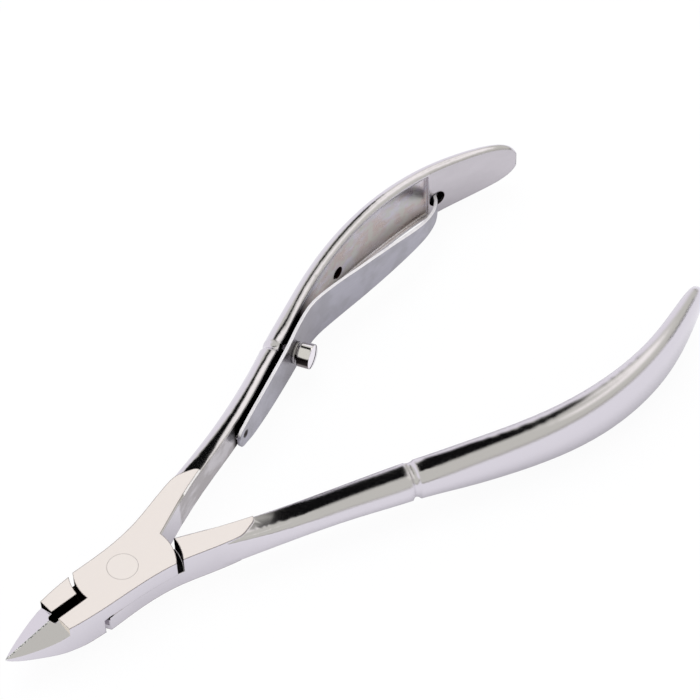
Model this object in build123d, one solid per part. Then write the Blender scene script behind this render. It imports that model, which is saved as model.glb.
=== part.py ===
from build123d import *
import os
from math import atan2, cos, degrees, radians, sin, sqrt

# Cuticle nipper with a lap joint and one parked leaf spring.
# Frame: the pivot axis is Z, +X runs back along the closed jaws towards the
# handles, +Y is the side of the handle that carries the leaf spring. Z = 0 is
# the flat underside of the joint.

# ---- joint -------------------------------------------------------------
joint_thickness = 5.4
lap_gap = 0.04          # between the two cheeks, and between the closed jaws
front_arc_r = 6.9       # cheek's shoulder towards the jaws
front_slot = 0.6
rear_arc_r = 7.45       # cheek's shoulder towards the handles
rear_slot = 0.95
cheek_half_width = 3.9
cheek_bulge = 0.15      # of the cheek's free side, beside the rivet
neck_x = 5.5            # where the cheek starts to widen towards the handle
neck_flare = 0.65
rear_corner_y = 4.75    # free rear corner of the cheek
crotch_y = 0.55         # where the rear shoulder meets the handle's inner face

# ---- joint rivet -------------------------------------------------------
rivet_r = 1.6
rivet_head_r = 2.15
rivet_head_h = 0.9
rivet_clearance = 0.03

# ---- jaws --------------------------------------------------------------
jaw_half_width = 3.15
jaw_front_x = -11.9     # where the flat top ends and the blade starts
heel_x = -12.8          # back end of the cutting edge
tip_x = -20.6
tip_height = 0.9        # above the joint's middle plane
edge_slope = 0.19       # rise of the cutting edge from tip to heel
facet_slope = 0.42      # fall of the blade's top from the edge outwards
jaw_relief = 0.75       # hollow behind the cutting edge, in each jaw
tip_thickness = 0.35
underside_start_x = -8.6
relief_run = 0.6
underside_middle = (-16.2, -1.05)   # x and z of the underside, halfway to the tip
jaw_root = (-6.4, 3.75)             # x and half width where the jaw leaves the cheek
jaw_taper = [(0.33, 0.80), (0.69, 0.43)]    # (share of the way to the tip, of the half width)

# ---- flat faces of the joint, which end in a point on the shank -----------
flat_end_x = 18.8
flat_inset = 0.12
flat_side = [(14.6, 3.22), (16.6, 2.65), (18.0, 1.55)]     # (x, width from the inner face)
flat_inner_x = 16.2
flat_bevel = 0.25         # round the pointed end
lobe_slope = 0.25         # of the flat's outer edge where its end begins

# ---- handles: (x, y of the inner face, half width, depth, squareness) ---
inner_chamfer = 0.15
spring_crest = 0.3       # where a section is highest, as a share of its depth
plain_crest = 0.42
crown_reach = 2.2        # of the crown's oval, in distances from inner face to crest
round_power = 2.2        # of the outside's oval at squareness 0
corner_power = 6         # added to it at squareness 1
spring_handle = [
    (12.6, 2.95, 2.60, 3.40, 1.00),
    (16.5, 4.50, 2.46, 3.30, 0.75),
    (20.5, 5.95, 2.45, 3.20, 0.45),
    (27.0, 8.20, 2.58, 3.20, 0.20),
    (33.5, 10.90, 2.66, 3.10, 0.05),
    (41.0, 14.46, 2.87, 3.05, 0.00),
    (42.4, 15.14, 2.96, 3.05, 0.00),
    (47.5, 17.50, 3.40, 2.95, 0.00),
    (54.5, 20.42, 4.10, 2.95, 0.00),
    (61.5, 22.40, 4.85, 3.10, 0.00),
    (68.5, 23.45, 5.45, 3.15, 0.00),
    (75.5, 23.82, 5.40, 3.05, 0.00),
    (81.0, 23.48, 5.12, 2.85, 0.00),
    (86.0, 22.50, 4.80, 2.62, 0.00),
    (90.0, 21.50, 4.32, 2.30, 0.00),
    (92.6, 20.75, 3.65, 2.02, 0.00),
    (94.3, 20.25, 2.65, 1.75, 0.00),
    (95.2, 20.00, 1.40, 1.45, 0.00),
]
plain_handle = [
    (12.6, 2.95, 2.60, 3.40, 1.00),
    (16.5, 4.72, 2.46, 3.40, 0.75),
    (20.5, 6.15, 2.30, 3.62, 0.45),
    (27.0, 8.38, 2.32, 3.82, 0.20),
    (33.5, 10.62, 2.54, 4.05, 0.05),
    (40.3, 13.07, 2.80, 4.28, 0.00),
    (41.7, 13.62, 2.90, 4.30, 0.00),
    (47.5, 16.08, 3.40, 4.30, 0.00),
    (54.5, 18.88, 3.92, 4.20, 0.00),
    (61.5, 21.13, 4.30, 4.10, 0.00),
    (68.5, 22.42, 4.60, 3.95, 0.00),
    (75.5, 22.66, 4.72, 3.62, 0.00),
    (81.0, 22.02, 4.64, 3.32, 0.00),
    (86.0, 20.72, 4.27, 3.05, 0.00),
    (90.0, 19.42, 3.72, 2.65, 0.00),
    (92.6, 18.58, 3.08, 2.30, 0.00),
    (94.3, 18.10, 2.25, 1.90, 0.00),
    (95.2, 17.85, 1.25, 1.50, 0.00),
]
shank_stations = 6      # of the stations above, those in front of the ring groove
groove_depth = 0.4

# ---- hollow and holes in the spring side's handle ------------------------
hollow_start_x = 27.5
hollow_end_x = 80.0
hollow_depth = 0.65
hollow_rim = 0.9         # wall beside the hollow
hollow_round = 1.4       # length of its round front end
hook_hole_x = 81.5
hook_hole_z = -1.5
hook_hole_r = 1.35
hook_hole_depth = 1.7
floor_hole_x = 60.4      # small hole in the floor of the hollow
floor_hole_z = -1.9
floor_hole_r = 0.95
floor_hole_depth = 1.2

# ---- leaf spring: (x, y of its front face, half width, z of its middle) ----
leaf_thickness = 0.55
leaf_path = [
    (28.4, 7.35, 1.75, 0),
    (31.0, 8.35, 2.35, 0),
    (36.0, 10.45, 2.85, 0),
    (41.8, 13.05, 3.20, 0),
    (47.0, 15.55, 3.65, 0),
    (50.5, 16.85, 3.80, 0),
    (55.0, 17.35, 3.70, 0),
    (61.0, 17.60, 3.30, 0),
    (67.5, 18.00, 2.70, -0.05),
    (74.0, 18.75, 1.85, -0.35),
    (77.6, 19.95, 1.50, -0.75),
    (79.8, 21.50, 1.25, -1.15),
    (81.2, 23.10, 1.00, -1.45),
    (81.8, 24.40, 0.90, hook_hole_z),
]
bump_x = 29.0            # bump under the leaf's lower tip, dimpled in front
bump_r = 0.6
bump_clearance = 0.05    # to the floor of the hollow
dimple_r = 0.55
leaf_round = 1.2         # length of its round lower tip
dimple_depth = 0.35

# ---- spring stud -----------------------------------------------------------
stud_x = 44.3
stud_neck_r = 1.0
stud_head_r = 1.9
stud_head_length = 1.95
stud_lift = 0.8         # from the leaf's face to the underside of the head
stud_clearance = 0.12   # of the leaf's eye and the collar around the neck
stud_seat_depth = 3.2   # of the neck behind the leaf, into the handle
stud_edge = 0.15
stud_dome = 0.3
stud_slot_width = 0.4    # screwdriver slot across the head
stud_slot_depth = 0.7
stud_slot_turn = 40      # of the slot, in degrees from the leaf's length
collar_r = 1.7
collar_thickness = 0.45

half = joint_thickness / 2
seam = lap_gap / 2
reach = 60              # of the blocks that cut, longer than what they cut
LOW = (Align.CENTER, Align.CENTER, Align.MIN)
os.makedirs("parts", exist_ok=True)

# ---- plan geometry -----------------------------------------------------------


def direction(stations, i):
    """Unit tangent in plan at station i."""
    a = stations[max(i - 1, 0)]
    b = stations[min(i + 1, len(stations) - 1)]
    dx, dy = b[0] - a[0], b[1] - a[1]
    length = sqrt(dx * dx + dy * dy)
    return dx / length, dy / length


def height_at(stations, x, column=1):
    """Value of one column of a station table at x, between its stations."""
    for a, b in zip(stations, stations[1:]):
        if x <= b[0]:
            break
    share = (x - a[0]) / (b[0] - a[0])
    return a[column] + share * (b[column] - a[column])


def slope_at(stations, x):
    """Unit tangent in plan at x."""
    rise = height_at(stations, x + 1) - height_at(stations, x - 1)
    length = sqrt(4 + rise * rise)
    return 2 / length, rise / length


def beside(stations, x, n):
    """Point in plan at x on the inner face, moved outwards by n."""
    tx, ty = slope_at(stations, x)
    return x - ty * n, height_at(stations, x) + tx * n


def offset_points(stations, n):
    """The stations' plan points, each moved outwards by n."""
    points = []
    for i, s in enumerate(stations):
        tx, ty = direction(stations, i)
        points.append((s[0] - ty * n, s[1] + tx * n))
    return points


def normal_plane(stations, x, n=0.0, z=0.0):
    """Plane at x on the inner face, facing out of it towards the other handle."""
    tx, ty = slope_at(stations, x)
    px, py = beside(stations, x, n)
    return Plane(origin=(px, py, z), x_dir=(tx, ty, 0), z_dir=(ty, -tx, 0))


def on_circle(r, y, side):
    """Point at height y on a circle about the pivot; side is -1 in front."""
    return side * sqrt(r * r - y * y), y


def prism(edges, z0, z1):
    """Upright prism over a closed plan outline."""
    face = make_face(Curve() + edges)
    return extrude(Pos(0, 0, z0) * face, z1 - z0, dir=(0, 0, 1))


# ---- handles -------------------------------------------------------------------


def section(station, tangent, crest_share, inset=0.0):
    """Closed section: flat inner face, crowned top and bottom, round outside."""
    x, y, h, t, square = station
    h, t = h - inset, t - inset
    crest = crest_share * t
    bevel = min(inner_chamfer, crest / 4)
    corner = 2 / (round_power + corner_power * square**2)
    top = []
    for share in (bevel / crest, 1 / 2, 4 / 5):
        back = (1 - share) * (1 - square) / crown_reach
        top.append((crest * share, h * sqrt(1 - back**2)))
    for angle in range(0, 90, 18):
        across, up = sin(radians(angle)) ** corner, cos(radians(angle)) ** corner
        top.append((crest + (t - crest) * across, h * up))
    bottom = [(n, -z) for n, z in reversed(top)]
    edge = top[0][1] - bevel
    plane = Plane(origin=(x, y, 0), x_dir=(-tangent[1], tangent[0], 0), z_dir=(*tangent, 0))
    edges = [
        Line((0, -edge), (0, edge)),
        Line((0, edge), top[0]),
        Spline(*top, (t, 0), *bottom),
        Line(bottom[-1], (0, -edge)),
    ]
    return plane * make_face(Curve() + edges)


def handle(stations, crest_share):
    """Shank, ring groove and grip, as three lofts that share their end faces."""
    faces = [section(s, direction(stations, i), crest_share) for i, s in enumerate(stations)]
    front, back = stations[shank_stations - 1], stations[shank_stations]
    middle = tuple((a + b) / 2 for a, b in zip(front, back))
    waist = section(middle, direction(stations, shank_stations), crest_share, groove_depth)
    shank = loft(faces[:shank_stations])
    groove = loft([faces[shank_stations - 1], waist, faces[shank_stations]])
    grip = loft(faces[shank_stations:])
    return shank + groove + grip


# ---- jaw, cheek and joint --------------------------------------------------------


def plan_outline(stations):
    """Outline of one half in plan, from the tip to the pointed end of its flat."""
    tip, heel = (tip_x, -seam), (heel_x, -seam)
    relief = (heel_x + relief_run, -jaw_relief)
    notch = on_circle(front_arc_r, -jaw_relief, -1)
    shoulder = on_circle(front_arc_r, cheek_half_width, -1)
    point = beside(stations, flat_end_x, flat_inset)
    inner_middle = beside(stations, flat_inner_x, flat_inset)
    crotch = on_circle(rear_arc_r, crotch_y, 1)
    rear_corner = on_circle(rear_arc_r, -rear_corner_y, 1)
    jaw_front = (jaw_front_x, -jaw_half_width)
    neck = (neck_x, cheek_half_width + neck_flare)
    side = [beside(stations, x, n) for x, n in flat_side]
    lobe_run = (1, lobe_slope)
    bulge = (0, -cheek_half_width - cheek_bulge)
    root = (jaw_root[0], -jaw_root[1])
    taper = [(jaw_front_x + a * (tip_x - jaw_front_x), -b * jaw_half_width) for a, b in jaw_taper]
    return [
        Line(tip, heel),
        Spline(heel, relief, tangents=[(0.3, -1), (1, 0)]),
        Line(relief, notch),
        ThreePointArc(notch, on_circle(front_arc_r, cheek_half_width / 2, -1), shoulder),
        Spline(shoulder, (0, cheek_half_width), neck, side[0], tangents=[(1, 0), lobe_run]),
        Spline(*side, point, tangents=[lobe_run, (0.3, -1)]),
        Spline(point, inner_middle, stations[0][:2]),
        Line(stations[0][:2], crotch),
        ThreePointArc(crotch, on_circle(rear_arc_r, -rear_corner_y / 2, 1), rear_corner),
        Spline(rear_corner, bulge, root, jaw_front),
        Spline(jaw_front, *taper, tip, tangents=[(-1, 0.1), (-0.8, 0.5)]),
    ]


def facet_cut():
    """Everything above the blade's sloping facet, in front of the flat top."""
    norm = (-edge_slope, -facet_slope, 1)
    plane = Plane(origin=(tip_x, 0, tip_height), x_dir=(1, 0, edge_slope), z_dir=norm)
    above = plane * Box(reach, reach, reach, align=LOW)
    front = Box(reach, reach, reach, align=(Align.MAX, Align.CENTER, Align.CENTER))
    return above & Pos(jaw_front_x, 0, 0) * front


def underside_cut():
    """Everything below the jaw's underside, which rises to the tip."""
    tip = (tip_x, tip_height - tip_thickness)
    start = (underside_start_x, -half)
    curve = Spline(tip, underside_middle, start, tangents=[(0.85, -0.5), (1, 0)])
    below = Polyline(start, (start[0], -reach), (-reach, -reach), (-reach, tip[1]), tip)
    face = Plane.XZ * make_face(Curve() + [curve, below])
    return extrude(face, reach, both=True)


def lap_cut():
    """Room for the other half's cheek, under this half's."""
    front = Cylinder(front_arc_r + front_slot, joint_thickness, align=LOW)
    rear = Cylinder(rear_arc_r + rear_slot, joint_thickness, align=LOW)
    front = front & Box(reach, reach, reach, align=(Align.MAX, Align.CENTER, Align.CENTER))
    rear = rear & Box(reach, reach, reach, align=(Align.MIN, Align.CENTER, Align.CENTER))
    return Pos(0, 0, seam - joint_thickness) * (front + rear)


def on_lobe(edge):
    """True for the top and bottom edges of the flat's round outer end."""
    middle = edge.center()
    outside = middle.Y > height_at(spring_handle, middle.X)
    return outside and middle.X > flat_side[0][0] and abs(middle.Z) > half / 2


def nipper_half(stations, crest_share, cheek_on_top):
    """One half without its rivet hole: jaw, cheek, flat, shank and handle."""
    block = prism(plan_outline(stations), -half, half)
    block = chamfer(block.edges().filter_by(on_lobe), flat_bevel)
    room = lap_cut() if cheek_on_top else Rot(180, 0, 0) * lap_cut()
    return block - facet_cut() - underside_cut() - room + handle(stations, crest_share)


def rivet_room(clearance):
    """Stepped hole for the rivet, headed at the top."""
    shank = Cylinder(rivet_r + clearance, reach)
    head = Cylinder(rivet_head_r + clearance, rivet_head_h + clearance, align=LOW)
    return shank + Pos(0, 0, half - rivet_head_h - clearance) * head


def joint_rivet():
    """Flush rivet with a head at each face of the joint."""
    head = Pos(0, 0, half - rivet_head_h) * Cylinder(rivet_head_r, rivet_head_h, align=LOW)
    return Cylinder(rivet_r, joint_thickness) + head + Rot(180, 0, 0) * head


# ---- hollow inner face -------------------------------------------------------------


def band(stations, n0, n1):
    """Upright slab that follows the stations between two offsets."""
    inner, outer = offset_points(stations, n0), offset_points(stations, n1)
    edges = [Spline(*inner), Line(inner[-1], outer[-1]), Spline(*outer), Line(outer[0], inner[0])]
    return prism(edges, -reach, reach)


def side_profile(points, x0, x1):
    """Slab across Y with bowed ends, from (x, half width, middle z) points."""
    top = [(x, z + w) for x, w, z in points]
    bottom = [(x, z - w) for x, w, z in points]
    edges = [
        Spline(*top),
        ThreePointArc(top[-1], (x1, points[-1][2]), bottom[-1]),
        Spline(*bottom),
        ThreePointArc(bottom[0], (x0, points[0][2]), top[0]),
    ]
    face = Plane.XZ * make_face(Curve() + edges)
    return extrude(face, reach, both=True)


def hollow(stations):
    """Shallow hollow along the inner face, in which the leaf spring nests."""
    start, end = hollow_start_x + hollow_round, hollow_end_x - lap_gap
    xs = [s[0] for s in stations if start + hollow_round < s[0] < end - hollow_round]
    xs = [start, *xs, end]
    points = [(x, height_at(stations, x, 2) - hollow_rim, 0) for x in xs]
    run = [s for s in stations if start - reach / 6 < s[0] < end + reach / 6]
    return band(run, -2 * hollow_depth, hollow_depth) & side_profile(points, hollow_start_x, hollow_end_x)


def spring_side_holes(stations):
    """Hook hole, the small hole in the hollow's floor and the stud's hole."""
    hook = normal_plane(stations, hook_hole_x, 0, hook_hole_z) * Cylinder(hook_hole_r, 2 * hook_hole_depth)
    floor = normal_plane(stations, floor_hole_x, hollow_depth, floor_hole_z)
    small = floor * Cylinder(floor_hole_r, 2 * floor_hole_depth)
    return hook + small + stud_tail()


# ---- leaf spring and its stud ----------------------------------------------------------


def leaf_axis():
    """Plane on the leaf's front face where the stud passes, facing outwards."""
    return normal_plane(leaf_path, stud_x)


def leaf_spring():
    """Leaf with a round lower tip, a bump under it and a narrow hooked end."""
    points = [(x, w, z) for x, y, w, z in leaf_path]
    ends = side_profile(points, points[0][0] - leaf_round, points[-1][0] + leaf_thickness)
    blank = band(leaf_path, 0, leaf_thickness) & ends
    run, rise = slope_at(leaf_path, bump_x)
    to_face = run * (height_at(spring_handle, bump_x) - height_at(leaf_path, bump_x))
    bump_height = to_face + hollow_depth - bump_clearance
    bump = normal_plane(leaf_path, bump_x, bump_height) * Cylinder(bump_r, bump_height, align=LOW)
    dimple = normal_plane(leaf_path, bump_x) * Cylinder(dimple_r, 2 * dimple_depth)
    eye = leaf_axis() * Cylinder(stud_neck_r + stud_clearance, 2 * bump_height)
    return blank + bump - dimple - eye


def stud_collar():
    """Loose ring on the stud's neck, lying on the leaf."""
    ring = Cylinder(collar_r, collar_thickness, align=LOW)
    return leaf_axis() * (ring - Cylinder(stud_neck_r + stud_clearance, reach))


def stud_tail():
    """The stud's neck, from its seat in the handle up to the head."""
    seat = leaf_thickness + stud_seat_depth
    neck = Cylinder(stud_neck_r, seat + stud_lift + stud_edge, align=LOW)
    return leaf_axis() * Pos(0, 0, -seat) * neck


def spring_stud():
    """Headed stud, set in the handle, that keeps the leaf on."""
    head = Cylinder(stud_head_r, stud_head_length, align=LOW)
    head = chamfer(head.edges().group_by(Axis.Z)[0], stud_edge)
    dome_r = (stud_head_r**2 + stud_dome**2) / (2 * stud_dome)
    dome = Pos(0, 0, stud_head_length - dome_r + stud_dome) * Sphere(dome_r)
    cap = dome & Pos(0, 0, stud_head_length) * Box(reach, reach, reach, align=LOW)
    slot = Pos(0, 0, stud_head_length + stud_dome - stud_slot_depth) * Rot(0, 0, stud_slot_turn)
    head = head + cap - slot * Box(reach, stud_slot_width, stud_slot_depth, align=LOW)
    return stud_tail() + leaf_axis() * Pos(0, 0, stud_lift) * head


# ---- assembly -------------------------------------------------------------------------------

spring_half = nipper_half(spring_handle, spring_crest, True) - rivet_room(rivet_clearance)
spring_half = spring_half - hollow(spring_handle) - spring_side_holes(spring_handle)
plain_half = mirror(nipper_half(plain_handle, plain_crest, False), about=Plane.XZ)
plain_half = plain_half - Rot(180, 0, 0) * rivet_room(0)

nodes = {
    "spring_half": spring_half,
    "plain_half": plain_half,
    "joint_rivet": joint_rivet(),
    "leaf_spring": leaf_spring(),
    "stud_collar": stud_collar(),
    "spring_stud": spring_stud(),
}
for name, shape in nodes.items():
    lifted = Pos(0, 0, half) * shape
    print(name, len(lifted.solids()), round(lifted.volume, 2), lifted.is_valid)
    export_step(lifted, f"parts/{name}.step")
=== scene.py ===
# %% [markdown]
# # A cuticle nipper with a leaf spring
# The tool is two crossed steel halves on one flush rivet. One handle is
# hollow inside and carries a flat leaf spring, held by a slotted stud.
# The measured solids come in as a fixed frame, already in the right place,
# so this lesson is about finish: polish, satin, brushed lines and turned parts.

# %% Load the measured frame
from math import cos, radians, sin

import bmesh
import bpy
from mathutils import Matrix, Vector


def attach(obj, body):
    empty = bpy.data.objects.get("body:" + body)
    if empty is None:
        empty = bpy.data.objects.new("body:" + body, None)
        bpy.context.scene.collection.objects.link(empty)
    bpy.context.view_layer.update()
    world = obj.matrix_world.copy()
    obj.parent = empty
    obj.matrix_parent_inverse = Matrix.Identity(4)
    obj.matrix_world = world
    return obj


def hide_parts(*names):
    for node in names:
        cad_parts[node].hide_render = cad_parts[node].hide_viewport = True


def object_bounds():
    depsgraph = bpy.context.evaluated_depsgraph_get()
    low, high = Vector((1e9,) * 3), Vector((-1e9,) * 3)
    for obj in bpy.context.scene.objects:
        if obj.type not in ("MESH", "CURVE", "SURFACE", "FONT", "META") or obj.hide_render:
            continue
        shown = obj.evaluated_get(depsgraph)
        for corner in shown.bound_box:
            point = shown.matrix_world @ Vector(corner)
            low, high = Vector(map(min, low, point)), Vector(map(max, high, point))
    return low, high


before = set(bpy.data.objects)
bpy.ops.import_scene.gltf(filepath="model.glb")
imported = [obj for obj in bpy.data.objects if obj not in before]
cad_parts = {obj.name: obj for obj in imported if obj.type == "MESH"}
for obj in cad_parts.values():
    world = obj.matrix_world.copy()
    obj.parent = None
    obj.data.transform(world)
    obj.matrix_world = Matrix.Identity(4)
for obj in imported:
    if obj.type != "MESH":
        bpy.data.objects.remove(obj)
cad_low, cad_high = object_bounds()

MM = 0.001
print("nodes:", sorted(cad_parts))

# %% [markdown]
# ## The camera
# A long tool is shown from well above, with a long lens, so that both
# handles keep their true lengths. The camera is placed by three angles: how
# far it looks down, how far round the tool it stands, and its small tilt.
# Then it is moved back from the pivot, and aside to centre the tool.

# %% Camera
LOOK_DOWN, LOOK_ROUND, TILT = 0.864238508, 0.707254563, -0.0415746
PIVOT_HEIGHT = 2.7
ASIDE, UPWARD, DISTANCE = 31.1376, 31.4538, 406.962
SENSOR_WIDTH, FOCAL_LENGTH = 36, 151.79

right = Vector((cos(LOOK_ROUND), -sin(LOOK_ROUND), 0))
ahead = Vector((sin(LOOK_ROUND), cos(LOOK_ROUND), 0))
view = ahead * cos(LOOK_DOWN) - Vector((0, 0, sin(LOOK_DOWN)))
above = ahead * sin(LOOK_DOWN) + Vector((0, 0, cos(LOOK_DOWN)))
side = cos(TILT) * right + sin(TILT) * above
top = cos(TILT) * above - sin(TILT) * right
place = side * ASIDE + top * UPWARD - view * DISTANCE + Vector((0, 0, PIVOT_HEIGHT))

lens = bpy.data.cameras.new("camera")
lens.sensor_width = SENSOR_WIDTH
lens.lens = FOCAL_LENGTH
camera = bpy.data.objects.new("camera", lens)
bpy.context.scene.collection.objects.link(camera)
turn = Matrix((side, top, -view)).transposed().to_4x4()
camera.matrix_world = Matrix.Translation(place * MM) @ turn
bpy.context.scene.camera = camera
bpy.context.scene.view_settings.view_transform = "Standard"
print("camera at", [round(v, 4) for v in place * MM])

# %% [markdown]
# ## Wiring nodes in a few words
# A procedural finish is a graph of small nodes. A few helpers keep the cells
# that follow short. One makes a node and plugs it in, one does arithmetic,
# and one makes a soft step between two values, which is how every mask
# starts. Masks are then joined, turned round, and used to mix colours.


# %% Making and joining nodes
def plug(tree, source, socket):
    """Link a socket, or set a plain value."""
    if isinstance(source, bpy.types.NodeSocket):
        tree.links.new(source, socket)
    elif isinstance(source, tuple) and len(source) == 3 and len(socket.default_value) == 4:
        socket.default_value = (*source, 1)
    else:
        socket.default_value = source


def add(tree, kind, inputs=(), **settings):
    """New node with its settings and inputs, by number or name."""
    made = tree.nodes.new("ShaderNode" + kind)
    for name, value in settings.items():
        setattr(made, name, value)
    for name, value in dict(inputs).items():
        plug(tree, value, made.inputs[name])
    return made


def calc(tree, operation, a, b=0.0, c=0.0):
    """Arithmetic on up to three values."""
    return add(tree, "Math", {0: a, 1: b, 2: c}, operation=operation).outputs[0]


def size_of(tree, value, centre=0.0):
    """Distance of a value from a centre, without its sign."""
    return calc(tree, "ABSOLUTE", calc(tree, "SUBTRACT", value, centre) if centre else value)


# %% Masks
def step(tree, value, low, high):
    """Soft step: 0 below low, 1 above high. Low may be the higher of the two."""
    inputs = {"Value": value, "From Min": low, "From Max": high}
    made = add(tree, "MapRange", inputs, interpolation_type="SMOOTHSTEP")
    return made.outputs[0]


def all_of(tree, *masks):
    """1 where every mask is 1."""
    result = masks[0]
    for mask in masks[1:]:
        result = calc(tree, "MULTIPLY", result, mask)
    return result


def any_of(tree, *masks):
    """1 where at least one mask is 1."""
    result = masks[0]
    for mask in masks[1:]:
        result = calc(tree, "MAXIMUM", result, mask)
    return result


def outside(tree, mask):
    """1 where the mask is 0."""
    return calc(tree, "SUBTRACT", 1.0, mask)


def part_of(tree, mask, share):
    """Weaker copy of a mask."""
    return calc(tree, "MULTIPLY", mask, share)


# %% Mixes
def mix(tree, share, a, b):
    """Mix of two colours."""
    inputs = {0: share, 6: a, 7: b}
    made = add(tree, "Mix", inputs, data_type="RGBA", blend_type="MIX", clamp_factor=True)
    return made.outputs[2]


def blend_value(tree, share, a, b):
    """Mix of two numbers."""
    return add(tree, "Mix", {0: share, 2: a, 3: b}, data_type="FLOAT").outputs[0]


# %% [markdown]
# ## The studio
# Polished steel has hardly a colour of its own: what it shows is the room.
# A studio for bright metal is built on purpose, with a pale sweep under
# the tool, a soft grey ceiling, a bright panel, and a black card that draws
# the crisp dark line along a round handle. The room here is a sky of
# directions, seen only in reflections. Seen directly it is white, and for
# soft light it is even, so that colours come out about as they are written.

# %% Directions in the room
world = bpy.data.worlds.new("studio")
bpy.context.scene.world = world
world.use_nodes = True
sky = world.node_tree
sky.nodes.clear()
where = add(sky, "TexCoord").outputs["Generated"]
xyz = add(sky, "SeparateXYZ", {0: where}).outputs
azimuth = calc(sky, "ARCTAN2", xyz[1], xyz[0])
height = calc(sky, "ARCSINE", xyz[2])
above_floor = calc(sky, "MAXIMUM", calc(sky, "ADD", xyz[2], 1.0), 0.01)
east = calc(sky, "DIVIDE", xyz[0], above_floor)
north = calc(sky, "DIVIDE", xyz[1], above_floor)
print("world:", world.name)

# %% [markdown]
# Walls and panels are bounded by compass and height. The card is a polygon
# close to the zenith, where compass directions crowd together, so it is
# drawn on a flattened sky instead, as the area to the left of five lines.


# %% Panels and the card's edges
def panel(spans, soft):
    """Mask of a panel between two azimuths and two heights, in degrees."""
    left, right_end, low, high = (radians(v) for v in spans)
    soft = radians(soft)
    return all_of(
        sky,
        step(sky, azimuth, left - soft, left + soft),
        step(sky, azimuth, right_end + soft, right_end - soft),
        step(sky, height, low - soft, low + soft),
        step(sky, height, high + soft, high - soft),
    )


def beyond(start, end, soft):
    """Mask left of a line across the flattened sky, seen from start to end."""
    run = (Vector(end) - Vector(start)).normalized()
    offset = start[1] * run.x - start[0] * run.y
    away = calc(sky, "SUBTRACT", calc(sky, "MULTIPLY", north, run.x), offset)
    away = calc(sky, "SUBTRACT", away, calc(sky, "MULTIPLY", east, run.y))
    return step(sky, away, -soft, soft)


# %% Room seen in reflections
CEILING = (0.74, 0.745, 0.665)
NEAR_EDGE = (0.50, 0.49, 0.45)
FAR_WALL = (1.02, 1.0, 1.04)
BRIGHT = (1.30, 1.27, 1.20)
CARD = (0.004, 0.004, 0.004)
NEAR_EDGE_TOP, NEAR_EDGE_LOW = radians(14), radians(1)
FAR_WALL_SPANS, FAR_WALL_SOFT = (38, 175, -90, 34), 6
BRIGHT_SPANS, BRIGHT_SOFT = (-75, 42, 46, 62), 7
SLIT_SPANS, SLIT_SOFT = (-36, -12, 0, 9), 2
CARD_EDGES = (
    ((0.22, 0.20), (0.31, 0.50), 0.010),
    ((0.10, -0.03), (0.22, 0.20), 0.010),
    ((-0.10, -0.03), (0.10, -0.03), 0.015),
    ((0.36, 0.50), (0.00, 0.46), 0.025),
    ((0.20, 0.50), (-0.02, -0.03), 0.02),
)

room = mix(sky, step(sky, height, NEAR_EDGE_TOP, NEAR_EDGE_LOW), CEILING, NEAR_EDGE)
room = mix(sky, panel(FAR_WALL_SPANS, FAR_WALL_SOFT), room, FAR_WALL)
room = mix(sky, panel(BRIGHT_SPANS, BRIGHT_SOFT), room, BRIGHT)
room = mix(sky, all_of(sky, *(beyond(*edge) for edge in CARD_EDGES)), room, CARD)
room = mix(sky, panel(SLIT_SPANS, SLIT_SOFT), room, CARD)
print("room:", len(sky.nodes), "nodes")

# %% [markdown]
# The three ways of seeing the room are joined with a Light Path node: its
# camera ray gets plain white, its glossy ray the room above, and any other
# ray an even, slightly cool light.

# %% Background and world output
WHITE = (1.0, 1.0, 1.0)
EVEN_LIGHT = (0.86, 0.86, 0.88)

ray = add(sky, "LightPath").outputs
seen = add(sky, "Background", {0: WHITE, 1: 1.0}).outputs[0]
mirrored = add(sky, "Background", {0: room, 1: 1.0}).outputs[0]
even = add(sky, "Background", {0: EVEN_LIGHT, 1: 1.0}).outputs[0]
lit_by = add(sky, "MixShader", {0: ray["Is Glossy Ray"], 1: even, 2: mirrored}).outputs[0]
clear = any_of(sky, ray["Is Camera Ray"], ray["Is Transmission Ray"])
sky_mix = add(sky, "MixShader", {0: clear, 1: lit_by, 2: seen}).outputs[0]
add(sky, "OutputWorld", {0: sky_mix})
print("world:", len(sky.nodes), "nodes")

# %% [markdown]
# ## Floor and key light
# The sweep is a large pale sheet at the level of the lowest point of the
# tool. It is shown white, with a faint contact shadow under the tool, and
# one wide lamp overhead gives that shadow its direction.

# %% Floor sheet
FLOOR_SIZE, FLOOR_GAP = 4.0, 0.00005
floor_mesh = bpy.data.meshes.new("floor")
sheet = bmesh.new()
bmesh.ops.create_grid(sheet, x_segments=1, y_segments=1, size=FLOOR_SIZE / 2)
bmesh.ops.translate(sheet, vec=(0, 0, cad_low.z - FLOOR_GAP), verts=sheet.verts)
sheet.to_mesh(floor_mesh)
sheet.free()
floor = bpy.data.objects.new("floor", floor_mesh)
bpy.context.scene.collection.objects.link(floor)
print("floor level", round(cad_low.z, 5))

# %% [markdown]
# Paper is a plain diffuse surface. A camera ray sees it almost white, and a
# mirror sees it glow, with painted shade close to the tool, so that polished
# walls get their soft lower edge. From below it is clear, so that the
# underside of the tool can be looked at too.

# %% Pale paper
PAPER = (0.96, 0.955, 0.98)
OPEN_PAPER, NEAR_TOOL_SHADE = (1.0, 0.995, 1.02), (0.38, 0.37, 0.40)
NEAR_REACH, NEAR_STEP = 0.008, (0.25, 0.95)
WHITE_SHARE, GLOW_SHARE = 0.93, 0.7

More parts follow.
